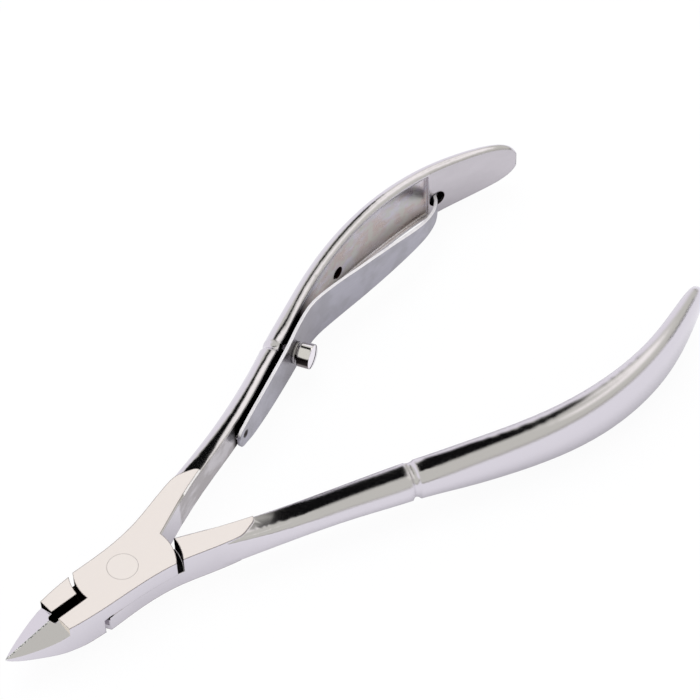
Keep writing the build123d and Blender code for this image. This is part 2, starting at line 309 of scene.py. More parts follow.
paper = bpy.data.materials.new("pale_paper")
paper.use_nodes = True
tree = paper.node_tree
tree.nodes.clear()
path = add(tree, "LightPath").outputs
lit = add(tree, "BsdfDiffuse", {"Color": PAPER}).outputs[0]
white = add(tree, "Emission", {"Color": WHITE, "Strength": 1.0}).outputs[0]
openness = add(tree, "AmbientOcclusion", {"Distance": NEAR_REACH}, samples=8).outputs["AO"]
# Painted shade: the glow turns darker close to the tool.
glow_with_shade = mix(tree, step(tree, openness, *NEAR_STEP), NEAR_TOOL_SHADE, OPEN_PAPER)
glow = add(tree, "Emission", {"Color": glow_with_shade, "Strength": 1.0}).outputs[0]
share = part_of(tree, path["Is Camera Ray"], WHITE_SHARE)
shown = add(tree, "MixShader", {0: share, 1: lit, 2: white}).outputs[0]
reflected = any_of(tree, path["Is Glossy Ray"], path["Is Transmission Ray"])
share = part_of(tree, reflected, GLOW_SHARE)
shown = add(tree, "MixShader", {0: share, 1: shown, 2: glow}).outputs[0]
under = add(tree, "NewGeometry").outputs["Backfacing"]
nothing = add(tree, "BsdfTransparent").outputs[0]
shown = add(tree, "MixShader", {0: under, 1: shown, 2: nothing}).outputs[0]
add(tree, "OutputMaterial", {0: shown})
floor.data.materials.append(paper)
print("paper:", len(tree.nodes), "nodes")

# %% Key light
KEY_SIZE, KEY_POWER = 0.7, 3.0
KEY_PLACE, KEY_TURN = (0.15, 0.25, 0.9), (-0.27, 0.16, 0)
lamp = bpy.data.lights.new("key", "AREA")
lamp.size = KEY_SIZE
lamp.energy = KEY_POWER
key = bpy.data.objects.new("key", lamp)
key.location = KEY_PLACE
key.rotation_euler = KEY_TURN
key.visible_glossy = False
bpy.context.scene.collection.objects.link(key)
print("key light at", KEY_PLACE)

# %% [markdown]
# ## Steel finishes
# Each half is forged in one piece and finished in several ways: the flat
# faces of the joint are ground to a warm satin, the handles are polished like
# a mirror, and the hollow inside one handle stays a little cloudy. One
# material carries all of them. Masks built from the position and from the
# direction of the surface, both in the piece's own frame, choose the finish,
# so nothing slides when the handles open.


# %% Position and direction on a piece, in millimetres
def steel(name):
    """New material with an empty tree, and its shader's inputs."""
    made = bpy.data.materials.new(name)
    made.use_nodes = True
    made.node_tree.nodes.clear()
    shader = add(made.node_tree, "BsdfPrincipled")
    add(made.node_tree, "OutputMaterial", {0: shader.outputs[0]})
    return made, made.node_tree, shader.inputs


def place_on(tree):
    """Position in millimetres and unit normal, each as three values."""
    coordinates = add(tree, "TexCoord").outputs
    inputs = {0: coordinates["Object"], "Scale": 1 / MM}
    position = add(tree, "VectorMath", inputs, operation="SCALE").outputs[0]
    spot = add(tree, "SeparateXYZ", {0: position}).outputs
    facing = add(tree, "SeparateXYZ", {0: coordinates["Normal"]}).outputs
    return position, (spot[0], spot[1], spot[2]), (facing[0], facing[1], facing[2])


def far_from(tree, position, centre):
    """Distance from a point, in millimetres."""
    made = add(tree, "VectorMath", {0: position, 1: centre}, operation="DISTANCE")
    return made.outputs["Value"]


def from_axis(tree, x, y):
    """Distance from the pivot's axis."""
    return calc(tree, "SQRT", calc(tree, "MULTIPLY_ADD", x, x, calc(tree, "MULTIPLY", y, y)))


# %% Grain, clouds, bumps and soft edges
def streaks(tree, position, scale, detail=3.0):
    """Noise drawn out along one way, for grinding lines."""
    drawn = add(tree, "Mapping", {0: position, "Scale": scale}).outputs[0]
    inputs = {"Vector": drawn, "Scale": 1.0, "Detail": detail, "Roughness": 0.6}
    return add(tree, "TexNoise", inputs).outputs[0]


def cloud(tree, position, scale, detail=2.0):
    """Soft even noise."""
    inputs = {"Vector": position, "Scale": scale, "Detail": detail}
    return add(tree, "TexNoise", inputs).outputs[0]


def varied(tree, pattern, spread, least):
    """Number that grows with a pattern from its least value."""
    return calc(tree, "MULTIPLY_ADD", pattern, spread, least)


def relief(tree, height_value, distance, strength, normal=None):
    """Bump from a height value."""
    inputs = {"Height": height_value, "Distance": distance, "Strength": strength}
    if normal is not None:
        inputs["Normal"] = normal
    return add(tree, "Bump", inputs).outputs[0]


def soft_edge(tree, radius):
    """Normal with tiny rounded edges."""
    return add(tree, "Bevel", {"Radius": radius}, samples=6).outputs[0]


# %% [markdown]
# ## Places on the two halves
# The joint's flats lie furthest from the middle of the tool and face up or
# down. Where they run out into a round shank, a bright crescent is painted
# on as a highlight. On the spring side the inner face of the handle has four
# stretches: the shank's flat face, the part under the leaf, the hollow
# between two rims, and the tongue at the end.

# %% Flats, hollow and holes
MIDDLE = PIVOT_HEIGHT
JOINT_END = (19.4, 19.0)
FLAT_LEVEL, FLAT_HEIGHT = (0.975, 0.995), (2.60, 2.66)
CRESCENT_LOW, CRESCENT_HIGH = (0.55, 0.65), (0.85, 0.75)
CRESCENT_HEIGHT, CRESCENT_START = (2.40, 2.46), (14.0, 14.4)
INNER_FACING, SPRING_SIDE = (-0.55, -0.75), (2.0, 2.5)
GRIP_WIDTHS = {"From Min": 32.0, "From Max": 72.0, "To Min": 2.55, "To Max": 5.42}
RIM_WIDTH, RIM_STEP = 0.9, (-0.05, 0.08)
SHANK_START, HOLLOW_START, HOLLOW_END = (12.4, 13.0), (27.4, 28.0), (80.3, 79.9)
LEAF_START, LEAF_FREE, TONGUE_START = (26.5, 28.0), (52.0, 46.0), (80.0, 80.3)
HOLES = (((60.4, 0, 0.8), 1.05), ((81.5, 0, 1.2), 1.40))
HOLE_SIDE, HOLE_FACING = (15.0, 16.0), (0.3, 0.5)
HOLE_OUTSIDE, HOLE_INSIDE = 0.03, 0.05

half_steel, tree, shader = steel("polished_steel")
position, (x, y, z), (nx, ny, nz) = place_on(tree)
off_middle = size_of(tree, z, MIDDLE)
level = size_of(tree, nz)
on_joint = step(tree, x, *JOINT_END)
flats = all_of(
    tree, step(tree, level, *FLAT_LEVEL), step(tree, off_middle, *FLAT_HEIGHT), on_joint
)
# A painted highlight: the band that faces half up where a flat runs out into the shank.
crescent_highlight = all_of(
    tree,
    step(tree, level, *CRESCENT_LOW),
    step(tree, level, *CRESCENT_HIGH),
    step(tree, off_middle, *CRESCENT_HEIGHT),
    step(tree, x, *CRESCENT_START),
    on_joint,
)

inner_side = all_of(tree, step(tree, ny, *INNER_FACING), step(tree, y, *SPRING_SIDE))
widths = {"Value": x, **GRIP_WIDTHS}
half_width = add(tree, "MapRange", widths, interpolation_type="SMOOTHSTEP").outputs[0]
from_rim = calc(tree, "SUBTRACT", calc(tree, "SUBTRACT", half_width, RIM_WIDTH), off_middle)
hollow = all_of(
    tree,
    inner_side,
    step(tree, from_rim, *RIM_STEP),
    step(tree, x, *HOLLOW_START),
    step(tree, x, *HOLLOW_END),
)
shank_face = all_of(
    tree, inner_side, step(tree, x, *SHANK_START), step(tree, x, *reversed(HOLLOW_START))
)
under_leaf = all_of(tree, inner_side, step(tree, x, *LEAF_START), step(tree, x, *LEAF_FREE))
tongue = all_of(tree, inner_side, step(tree, x, *TONGUE_START))

flat_place = add(tree, "CombineXYZ", {0: x, 2: z}).outputs[0]
# Inside the two holes the walls and floor are painted very dark brown, as shade.
in_hole = any_of(
    tree,
    *(
        step(tree, far_from(tree, flat_place, centre), r + HOLE_OUTSIDE, r - HOLE_INSIDE)
        for centre, r in HOLES
    ),
)
holes = all_of(
    tree, in_hole, step(tree, y, *HOLE_SIDE), outside(tree, step(tree, ny, *HOLE_FACING))
)
print("halves so far:", len(tree.nodes), "nodes")

# %% [markdown]
# Behind the jaws each half has a notch that the other half's jaw swings
# through. With the jaws closed its walls and floor see only each other and
# look black, apart from the ground back of one blade. The same goes for the
# gap where the lap ends at the shank. That black is painted shade, placed by
# position, as is the dark strip under the leaf, so it stays when the tool is
# opened. The cutting edges are honed, and their sparkle is painted glints.

# %% Notch, gap and cutting edge
WALL_LEVEL, FLOOR_LEVEL, FLOOR_HEIGHT = (0.6, 0.45), (0.6, 0.8), (1.2, 0.9)
NOTCH_TIP, NOTCH_HEEL, NOTCH_BOTTOM = (-13.0, -12.9), (-4.9, -5.1), (2.0, 2.4)
NOTCH_SIDE = (2.75, 2.65)
SHOULDER_FACING, SHOULDER_X = (-0.2, -0.4), (-7.5, -7.3)
BACK_FACING, BACK_START, BACK_END = (-0.4, -0.6), (-12.05, -12.0), (-11.75, -11.8)
DARK_SIDE = (-0.1, 0.1)
EDGE_SIDE, EDGE_HEEL = (0.15, 0.07), (-12.3, -12.5)
GAP_FACING, GAP_LEVEL, GAP_START, GAP_END = (-0.3, -0.5), (0.45, 0.35), (4.0, 4.4), (12.0, 11.6)

in_notch = all_of(
    tree,
    step(tree, x, *NOTCH_TIP),
    step(tree, x, *NOTCH_HEEL),
    step(tree, z, *NOTCH_BOTTOM),
)
beside_middle = step(tree, size_of(tree, y), *NOTCH_SIDE)
shoulder = all_of(tree, step(tree, nx, *SHOULDER_FACING), step(tree, x, *SHOULDER_X))
walled = all_of(tree, step(tree, level, *WALL_LEVEL), any_of(tree, beside_middle, shoulder))
lap_floor = all_of(
    tree, step(tree, off_middle, *FLOOR_HEIGHT), step(tree, level, *FLOOR_LEVEL)
)
blade_back = all_of(
    tree,
    step(tree, nx, *BACK_FACING),
    step(tree, x, *BACK_START),
    step(tree, x, *BACK_END),
)
bright_back = all_of(tree, blade_back, step(tree, y, *reversed(DARK_SIDE)))
dark_back = all_of(tree, blade_back, step(tree, y, *DARK_SIDE))
notch = all_of(tree, in_notch, any_of(tree, walled, lap_floor), outside(tree, bright_back))
shoulder_gap = all_of(
    tree,
    step(tree, nx, *GAP_FACING),
    step(tree, level, *GAP_LEVEL),
    step(tree, x, *GAP_START),
    step(tree, x, *GAP_END),
)
cutting = all_of(tree, step(tree, size_of(tree, y), *EDGE_SIDE), step(tree, x, *EDGE_HEEL))
black = any_of(tree, notch, dark_back, under_leaf, shoulder_gap)
print("halves so far:", len(tree.nodes), "nodes")

# %% [markdown]
# No real edge is perfectly sharp. A Bevel node bends the normal near an edge
# and leaves the mesh alone: a hair's breadth at the joint, and more on the
# handles, whose polish also runs over the facets of the mesh. Where the bent
# normal leaves the true one there is an edge, and there a thin line of painted
# shade frames the ground flats.

# %% Rounded edges and the painted shade line round the flats
JOINT_RADIUS, HANDLE_RADIUS, GRIP_RADIUS = 0.00020, 0.00050, 0.00110
HANDLE_START, GRIP_START, PLAIN_SIDE = (19.5, 21.5), (24.0, 28.0), (-6.0, -7.0)
GROOVE_X, GROOVE_REACH = 41.0, (1.0, 2.2)
EDGE_BEND, EDGE_HEIGHT = (0.998, 0.96), (2.5, 2.6)
RIVET_REACH, RIVET_LINE = (2.4, 2.6), 0.12

from_groove = size_of(tree, x, GROOVE_X)
on_grip = all_of(
    tree,
    step(tree, y, *PLAIN_SIDE),
    step(tree, x, *GRIP_START),
    step(tree, from_groove, *GROOVE_REACH),
)
handle_radius = blend_value(tree, on_grip, HANDLE_RADIUS, GRIP_RADIUS)
radius = blend_value(tree, step(tree, x, *HANDLE_START), JOINT_RADIUS, handle_radius)
rounded = soft_edge(tree, radius)
true_normal = add(tree, "NewGeometry").outputs["Normal"]
bend = add(tree, "VectorMath", {0: rounded, 1: true_normal}, operation="DOT_PRODUCT")
at_edge = step(tree, bend.outputs["Value"], *EDGE_BEND)
on_flat = any_of(tree, flats, step(tree, off_middle, *EDGE_HEIGHT))
past_rivet = step(tree, from_axis(tree, x, y), *RIVET_REACH)
# Painted shade: a thin dark line along the edges of the flats.
edge_shade_line = all_of(
    tree, at_edge, on_flat, on_joint, blend_value(tree, past_rivet, RIVET_LINE, 1.0)
)
print("halves so far:", len(tree.nodes), "nodes")

# %% [markdown]
# The base colour of a metal is what it reflects straight back. Polished tool
# steel gives back about two thirds, slightly cool. The ground flats scatter
# light, which a lower metallic share and a rougher surface imitate. The
# hollow is hardly polished, so it has warm, cool and greenish patches drawn
# out along the handle. It is painted darker low down and towards the stud,
# where the leaf keeps the light out.

# %% Patterns and colour of the halves
MIRROR = (0.665, 0.638, 0.682)
GROUND, GROUND_LINE = (0.842, 0.774, 0.729), (0.78, 0.725, 0.69)
WARM_PATCH, COOL_PATCH, GREEN_PATCH = (0.60, 0.51, 0.475), (0.66, 0.635, 0.70), (0.62, 0.63, 0.57)
LOW_HOLLOW, SEAT = (0.25, 0.215, 0.19), (0.012, 0.009, 0.008)
DULL_SHADED_SHANK, CLEAN_SHADED_SHANK = (0.40, 0.375, 0.375), (0.56, 0.535, 0.55)
DULL_SHADED_TONGUE, CLEAN_SHADED_TONGUE = (0.50, 0.475, 0.50), (0.62, 0.59, 0.62)
# The crescent's colour is a painted highlight, and the edge line's colour is painted shade.
CRESCENT_HIGHLIGHT, EDGE_SHADE, BLADE_BACK = (1.0, 0.98, 0.96), (0.16, 0.13, 0.12), (0.92, 0.85, 0.74)
GLINT_DARK, GLINT_BRIGHT = (0.14, 0.15, 0.16), (0.95, 0.95, 0.95)
NOTCH_BLACK, HOLE_SHADE = (0.012, 0.010, 0.009), (0.020, 0.009, 0.007)
GRIND_SCALE, PATCH_SCALE = (0.55, 9.0, 9.0), (0.15, 0.32, 0.36)
MOTTLE_SCALE, SPECKLE_SCALE, WAVE_SCALE = 0.55, 5.5, 0.16
PATCH_STEP, GREEN_STEP = (0.38, 0.62), (0.48, 0.62)
WEAR_STEP, SPECKLE_STEP = (0.4, 0.6), (0.40, 0.60)
LINE_SHARE, GREEN_SHARE, LOW_SHARE, EDGE_SHARE = 0.35, 0.7, 0.60, 0.9
LOW_RANGE, SEAT_X = (-0.5, -4.0), (56.0, 47.0)

grinding = streaks(tree, position, GRIND_SCALE)
mottle = cloud(tree, position, MOTTLE_SCALE)
patches = streaks(tree, position, PATCH_SCALE, 4.0)
speckle = step(tree, cloud(tree, position, SPECKLE_SCALE, 4.0), *SPECKLE_STEP)
ground = mix(tree, part_of(tree, grinding, LINE_SHARE), GROUND, GROUND_LINE)

clouded = mix(tree, step(tree, patches, *PATCH_STEP), WARM_PATCH, COOL_PATCH)
greenish = part_of(tree, step(tree, mottle, *GREEN_STEP), GREEN_SHARE)
clouded = mix(tree, greenish, clouded, GREEN_PATCH)
low_side = step(tree, calc(tree, "SUBTRACT", z, MIDDLE), *LOW_RANGE)
clouded = mix(tree, part_of(tree, low_side, LOW_SHARE), clouded, LOW_HOLLOW)
seat = step(tree, x, *SEAT_X)
clouded = mix(tree, seat, clouded, SEAT)
# The shank's face and the tongue are dull, with worn patches. They are also painted darker as
# shade from the leaf and the other half.
shank_wear_and_shade = mix(tree, step(tree, patches, *WEAR_STEP), DULL_SHADED_SHANK, CLEAN_SHADED_SHANK)
tongue_wear_and_shade = mix(tree, patches, DULL_SHADED_TONGUE, CLEAN_SHADED_TONGUE)
# Painted glints: the honed edge is speckled dark and bright.
honed_glints = mix(tree, speckle, GLINT_DARK, GLINT_BRIGHT)

colour = MIRROR
for mask, tone in (
    (hollow, clouded),
    (shank_face, shank_wear_and_shade),
    (tongue, tongue_wear_and_shade),
    (flats, ground),
    (crescent_highlight, CRESCENT_HIGHLIGHT),
    (part_of(tree, edge_shade_line, EDGE_SHARE), EDGE_SHADE),
    (bright_back, BLADE_BACK),
    (cutting, honed_glints),
    (black, NOTCH_BLACK),
    (holes, HOLE_SHADE),
):
    colour = mix(tree, mask, colour, tone)
plug(tree, colour, shader["Base Color"])
print("halves so far:", len(tree.nodes), "nodes")

# %% [markdown]
# A black metal still turns pale where light grazes it. The real places are
# dark because little light gets in, which a colour alone can't imitate, so
# the painted ones get a black tint for grazing light too.

# %% Gloss and relief of the halves
SATIN_METAL, DULL_ROUGH, DARK_ROUGH = 0.22, 0.28, 0.40
MIRROR_ROUGH, HOLLOW_ROUGH, GROUND_ROUGH = (0.03, 0.055), (0.18, 0.20), (0.12, 0.36)
GRIND_DEEP, WAVE_DEEP, SHANK_LINES = 0.000012, 0.00006, 0.6

no_light = any_of(tree, black, holes)
dull = any_of(tree, shank_face, tongue)
satin = any_of(tree, calc(tree, "ADD", flats, crescent_highlight), bright_back)
rough = varied(tree, mottle, *MIRROR_ROUGH)
rough = blend_value(tree, hollow, rough, varied(tree, mottle, *HOLLOW_ROUGH))
rough = blend_value(tree, dull, rough, DULL_ROUGH)
rough = blend_value(tree, no_light, rough, DARK_ROUGH)
rough = blend_value(tree, satin, rough, varied(tree, grinding, *GROUND_ROUGH))
plug(tree, rough, shader["Roughness"])

dark = any_of(tree, no_light, all_of(tree, hollow, seat))
metal = blend_value(tree, dark, blend_value(tree, satin, 1.0, SATIN_METAL), 1.0)
plug(tree, metal, shader["Metallic"])
plug(tree, mix(tree, dark, WHITE, (0.0, 0.0, 0.0)), shader["Specular Tint"])

ground_share = calc(tree, "ADD", satin, part_of(tree, shank_face, SHANK_LINES))
lines = calc(tree, "MULTIPLY", grinding, ground_share)
bumped = relief(tree, lines, GRIND_DEEP, 0.5, rounded)
bumped = relief(tree, cloud(tree, position, WAVE_SCALE), WAVE_DEEP, 0.12, bumped)
plug(tree, bumped, shader["Normal"])
print("halves:", len(tree.nodes), "nodes")

# %% [markdown]
# The rivet is turned from the same steel and ground flush with the flats in
# one pass with them, so it has the same lines, and only its fine joint ring
# shows.

# %% Finish of the rivet
RIVET, RIVET_LINES, RIVET_RIM = (0.85, 0.785, 0.74), (0.77, 0.72, 0.685), (0.55, 0.52, 0.50)
RIM_REACH, RIM_SHARE = (2.06, 2.13), 0.05

rivet_steel, tree, shader = steel("rivet_steel")
position, (x, y, z), facing = place_on(tree)
grain = streaks(tree, position, GRIND_SCALE)
rim = part_of(tree, step(tree, from_axis(tree, x, y), *RIM_REACH), RIM_SHARE)
colour = mix(tree, rim, mix(tree, part_of(tree, grain, LINE_SHARE), RIVET, RIVET_LINES), RIVET_RIM)
plug(tree, colour, shader["Base Color"])
shader["Metallic"].default_value = SATIN_METAL
plug(tree, varied(tree, grain, *GROUND_ROUGH), shader["Roughness"])
plug(tree, relief(tree, grain, GRIND_DEEP, 0.5), shader["Normal"])
print("rivet:", len(tree.nodes), "nodes")

# %% [markdown]
# Spring steel is rolled and tempered. It keeps a bluish satin, with faint
# rolling lines along the strip, duller patches, and a slightly darker tone
# about the stud, where oil gathers. Its sheared upper edge is bare, and its
# brightness there is partly a painted highlight.

# %% Finish of the spring
BLUISH, BLUISH_LINE, DULL_SPOT = (0.33, 0.325, 0.37), (0.47, 0.46, 0.51), (0.30, 0.295, 0.315)
OILED, DIMPLE_DARK = (0.27, 0.25, 0.26), (0.03, 0.025, 0.025)
SHEARED_HIGHLIGHT, SHEARED_HIGHLIGHT_LINE = (0.66, 0.64, 0.66), (0.92, 0.90, 0.92)
OIL_X, OIL_REACH, OIL_SHARE = 45.5, (9.0, 1.5), 0.45
DIMPLE, DIMPLE_DARK_REACH = (29.0, 7.65, PIVOT_HEIGHT), (0.75, 0.55)
ROLL_SCALE, ROLL_DEEP, ROLL_ROUGH = (0.35, 0.35, 7.0), 0.00001, (0.12, 0.26)
SPOT_SCALE, SPOT_STEP, SPOT_SHARE = 0.35, (0.4, 0.65), 0.5
SHEAR_FACING, SHEAR_END, SHEAR_METAL = (0.35, 0.75), (83.0, 81.0), 0.25

spring_steel, tree, shader = steel("spring_steel")
position, (x, y, z), (nx, ny, nz) = place_on(tree)
rolling = streaks(tree, position, ROLL_SCALE)
patch = part_of(tree, step(tree, cloud(tree, position, SPOT_SCALE), *SPOT_STEP), SPOT_SHARE)
oil = part_of(tree, step(tree, size_of(tree, x, OIL_X), *OIL_REACH), OIL_SHARE)
# The middle of the dimple is painted nearly black.
dimple_darkened = step(tree, far_from(tree, position, DIMPLE), *DIMPLE_DARK_REACH)
# The upward face of the sheared edge is bare metal, made brighter as a painted highlight.
sheared_highlight = all_of(tree, step(tree, nz, *SHEAR_FACING), step(tree, x, *SHEAR_END))
colour = mix(tree, rolling, BLUISH, BLUISH_LINE)
colour = mix(tree, patch, colour, DULL_SPOT)
colour = mix(tree, oil, colour, OILED)
colour = mix(tree, dimple_darkened, colour, DIMPLE_DARK)
colour = mix(tree, sheared_highlight, colour, mix(tree, rolling, SHEARED_HIGHLIGHT, SHEARED_HIGHLIGHT_LINE))
plug(tree, colour, shader["Base Color"])
plug(tree, blend_value(tree, sheared_highlight, 1.0, SHEAR_METAL), shader["Metallic"])
plug(tree, varied(tree, rolling, *ROLL_ROUGH), shader["Roughness"])
plug(tree, relief(tree, rolling, ROLL_DEEP, 0.4), shader["Normal"])
print("spring:", len(tree.nodes), "nodes")

# %% [markdown]
# The stud and its collar are turned and polished. The stud's round side is
# bright along the top, painted nearly black below that and a little lighter
# at the bottom, by the direction that it faces. Its end face is bright.

# %% Finish of the stud and the collar
TURNED, TURNED_LINE = (0.78, 0.75, 0.78), (0.90, 0.87, 0.90)
SHADED, SHADED_LOW = (0.02, 0.016, 0.015), (0.27, 0.235, 0.23)
COLLAR, COLLAR_LINE = (0.30, 0.285, 0.29), (0.42, 0.40, 0.41)
LEAN_X, LEAN_Y = 0.433, 0.901
ROUND_FACING, SHADE_FACING, LOW_FACING = (0.6, 0.4), (0.62, 0.50), (0.05, -0.15)
TURN_SCALE, TURN_DEEP, TURN_ROUGH = 5.0, 0.000006, (0.08, 0.06)
COLLAR_SCALE, COLLAR_ROUGH = 4.0, (0.10, 0.22)

stud_steel, tree, shader = steel("turned_steel")
position, spot, (nx, ny, nz) = place_on(tree)
turning = cloud(tree, position, TURN_SCALE)
outward = calc(
    tree, "SUBTRACT", calc(tree, "MULTIPLY", nx, LEAN_X), calc(tree, "MULTIPLY", ny, LEAN_Y)
)
round_side = step(tree, size_of(tree, outward), *ROUND_FACING)
shaded = all_of(tree, round_side, step(tree, nz, *SHADE_FACING))
shade = mix(tree, step(tree, nz, *LOW_FACING), SHADED, SHADED_LOW)
bright = mix(tree, turning, TURNED, TURNED_LINE)
plug(tree, mix(tree, shaded, bright, shade), shader["Base Color"])
shader["Metallic"].default_value = 1.0
plug(tree, varied(tree, turning, *TURN_ROUGH), shader["Roughness"])
plug(tree, relief(tree, turning, TURN_DEEP, 0.3), shader["Normal"])

collar_steel, tree, shader = steel("collar_steel")
turning = cloud(tree, place_on(tree)[0], COLLAR_SCALE)
plug(tree, mix(tree, turning, COLLAR, COLLAR_LINE), shader["Base Color"])
shader["Metallic"].default_value = 1.0
plug(tree, varied(tree, turning, *COLLAR_ROUGH), shader["Roughness"])
print("finishes:", [m.name for m in bpy.data.materials])

# %% [markdown]
# ## The leaf spring
# The real leaf is stamped from thin strip, pierced for its stud, bent to a
# shallow S and narrowed to a tongue that hooks into the handle. It is built
# the same way: a row of points across the strip is extruded station by
# station, faces are left out for the eye, a tip is dimpled, and only then
# does the sheet get its thickness and its rolled edges. Each station gives
# the place along the tool, the front face, half the width and the height of
# the middle line, in millimetres.

# %% Stations of the leaf
LEAF_STATIONS = [
    (28.4, 7.35, 1.75, 0),
    (31.0, 8.35, 2.35, 0),
    (36.0, 10.45, 2.85, 0),
    (41.8, 13.05, 3.20, 0),
    (47.0, 15.55, 3.65, 0),
    (50.5, 16.85, 3.80, 0),
    (55.0, 17.35, 3.70, 0),
    (61.0, 17.60, 3.30, 0),
    (67.5, 18.00, 2.70, -0.05),
    (74.0, 18.75, 1.85, -0.35),
    (77.6, 19.95, 1.50, -0.75),
    (79.8, 21.50, 1.25, -1.15),
    (81.2, 23.10, 1.00, -1.45),
    (81.8, 24.40, 0.90, -1.50),
]
FRONT, HALF_WIDTH, RISE = 1, 2, 3
STUD_X = 44.3


def along(x, column):
    """Value of one column at x, on a smooth curve through the stations."""
    last = len(LEAF_STATIONS) - 1
    spot = max(i for i in range(last) if x >= LEAF_STATIONS[i][0] or i == 0)
    start, end = LEAF_STATIONS[spot], LEAF_STATIONS[spot + 1]
    (x0, v0), (x1, v1) = (start[0], start[column]), (end[0], end[column])
    before = LEAF_STATIONS[max(spot - 1, 0)]
    after = LEAF_STATIONS[min(spot + 2, last)]
    slope0 = (v1 - before[column]) / (x1 - before[0])
    slope1 = (after[column] - v0) / (after[0] - x0)
    t = (x - x0) / (x1 - x0)
    rise = (1 - t) ** 2 * t * slope0 - (1 - t) * t**2 * slope1
    return v0 + (v1 - v0) * t * t * (3 - 2 * t) + rise * (x1 - x0)


def on_leaf(x, near=0.05):
    """Point on the front face at x, with the strip's direction in plan."""
    run = Vector((2 * near, along(x + near, FRONT) - along(x - near, FRONT), 0))
    return Vector((x, along(x, FRONT), along(x, RISE))), run.normalized()


STUD_FOOT, STUD_RUN = on_leaf(STUD_X)
STUD_OUT = Vector((STUD_RUN.y, -STUD_RUN.x, 0))
print("stud leaves the leaf at", [round(v, 2) for v in STUD_FOOT])

# %% [markdown]
# The strip is divided finely about the eye and the dimple and coarsely
# elsewhere. Rows near the round lower tip shorten like chords of a circle.

# %% Strip
ACROSS = 16
TIP_X, TIP_RUN = LEAF_STATIONS[0][0], 1.2
TIP_ROWS = (0.97, 0.85, 0.65, 0.4, 0.15)
ROWS = (
    (28.6, 0.4, 8),
    (32.4, 1.3, 7),
    (41.4, 0.45, 14),
    (48.4, 1.3, 20),
    (74.4, 0.9, 5),
    (78.6, 0.4, 9),
)
xs = [TIP_X - TIP_RUN * share for share in TIP_ROWS]
xs += [first + pitch * i for first, pitch, count in ROWS for i in range(count)]

strip = bmesh.new()
row = [strip.verts.new((0, 0, share / ACROSS)) for share in range(ACROSS + 1)]
edges = [strip.edges.new(pair) for pair in zip(row, row[1:])]
for count, x in enumerate(xs):
    if count:
        grown = bmesh.ops.extrude_edge_only(strip, edges=edges)["geom"]
        edges = [part for part in grown if isinstance(part, bmesh.types.BMEdge)]
        row = [part for part in grown if isinstance(part, bmesh.types.BMVert)]
        row.sort(key=lambda vert: vert.co.z)
    middle, run = on_leaf(max(x, TIP_X))
    back = max(TIP_X - x, 0)
    middle.x = min(x, middle.x)
    middle.y -= back * run.y / run.x
    width = along(max(x, TIP_X), HALF_WIDTH) * (1 - (back / TIP_RUN) ** 2) ** 0.5
    for spot, vert in enumerate(row):
        vert.co = (middle.x, middle.y, middle.z + width * (2 * spot / ACROSS - 1))
print("strip:", len(strip.faces), "faces")

# %% [markdown]
# For the eye, the faces about the stud are deleted, and the points left round
# the gap are pulled onto a circle. The dimple is a smooth press, deepest at
# its middle.

# %% Eye and dimple
EYE_R, EYE_CUT = 1.12, 0.28
DIMPLE_R, DIMPLE_DEEP = 0.55, 0.4


def distance_to(vert, x):
    """Distance from the point on the strip's middle line at x."""
    return (vert.co - on_leaf(x)[0]).length


doomed = [
    face
    for face in strip.faces
    if all(distance_to(vert, STUD_X) < EYE_R + EYE_CUT for vert in face.verts)
]
bmesh.ops.delete(strip, geom=doomed, context="FACES")
dimple_run = on_leaf(DIMPLE[0])[1]
press_way = Vector((-dimple_run.y, dimple_run.x, 0))
for vert in strip.verts:
    reach = distance_to(vert, STUD_X)
    if vert.is_boundary and reach < 2 * EYE_R:
        vert.co = STUD_FOOT + (vert.co - STUD_FOOT) * EYE_R / reach
for vert in strip.verts:
    reach = distance_to(vert, DIMPLE[0])
    if reach < 2 * DIMPLE_R:
        press = DIMPLE_DEEP * 0.5 * (1 + cos(radians(90) * reach / DIMPLE_R))
        vert.co += press_way * press
print("eye cut from", len(doomed), "faces")

# %% [markdown]
# Every new piece is handed over in the same way: doubles merged, normals
# turned outwards, lifted to the pivot's middle plane and scaled to metres. It
# then rides on its body, names its finish and stands for its measured solid.


# %% Hand-over of a piece
def finished(shape, name, finish, body, node, sharp):
    """Object in metres from a bmesh in millimetres, riding on its body."""
    bmesh.ops.remove_doubles(shape, verts=shape.verts, dist=0.001)
    bmesh.ops.recalc_face_normals(shape, faces=shape.faces)
    bmesh.ops.translate(shape, vec=(0, 0, PIVOT_HEIGHT), verts=shape.verts)
    bmesh.ops.scale(shape, vec=(MM, MM, MM), verts=shape.verts)
    mesh = bpy.data.meshes.new(name)
    shape.to_mesh(mesh)
    shape.free()
    mesh.shade_smooth()
    mesh.set_sharp_from_angle(angle=radians(sharp))
    mesh.materials.append(finish)
    piece = bpy.data.objects.new(name, mesh)
    bpy.context.scene.collection.objects.link(piece)
    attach(piece, body)
    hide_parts(node)
    print(name, len(mesh.polygons), "faces")


# %% Thickness and rolled edges
LEAF_THICK, LEAF_ROLL, ROLL_ABOVE, LEAF_SHARP = 0.55, 0.12, radians(50), 40

bmesh.ops.recalc_face_normals(strip, faces=strip.faces)
faces_out = STUD_OUT.dot(strip.faces[:][0].normal) > 0
thickness = LEAF_THICK if faces_out else -LEAF_THICK
bmesh.ops.solidify(strip, geom=strip.faces, thickness=thickness)
bmesh.ops.recalc_face_normals(strip, faces=strip.faces)
corners = [e for e in strip.edges if e.is_manifold and e.calc_face_angle() > ROLL_ABOVE]
bmesh.ops.bevel(
    strip, geom=corners, offset=LEAF_ROLL, segments=3, profile=0.5, affect="EDGES", material=-1
)
finished(
    strip, "leaf_with_eye", spring_steel, "leaf", "leaf_spring", LEAF_SHARP
)

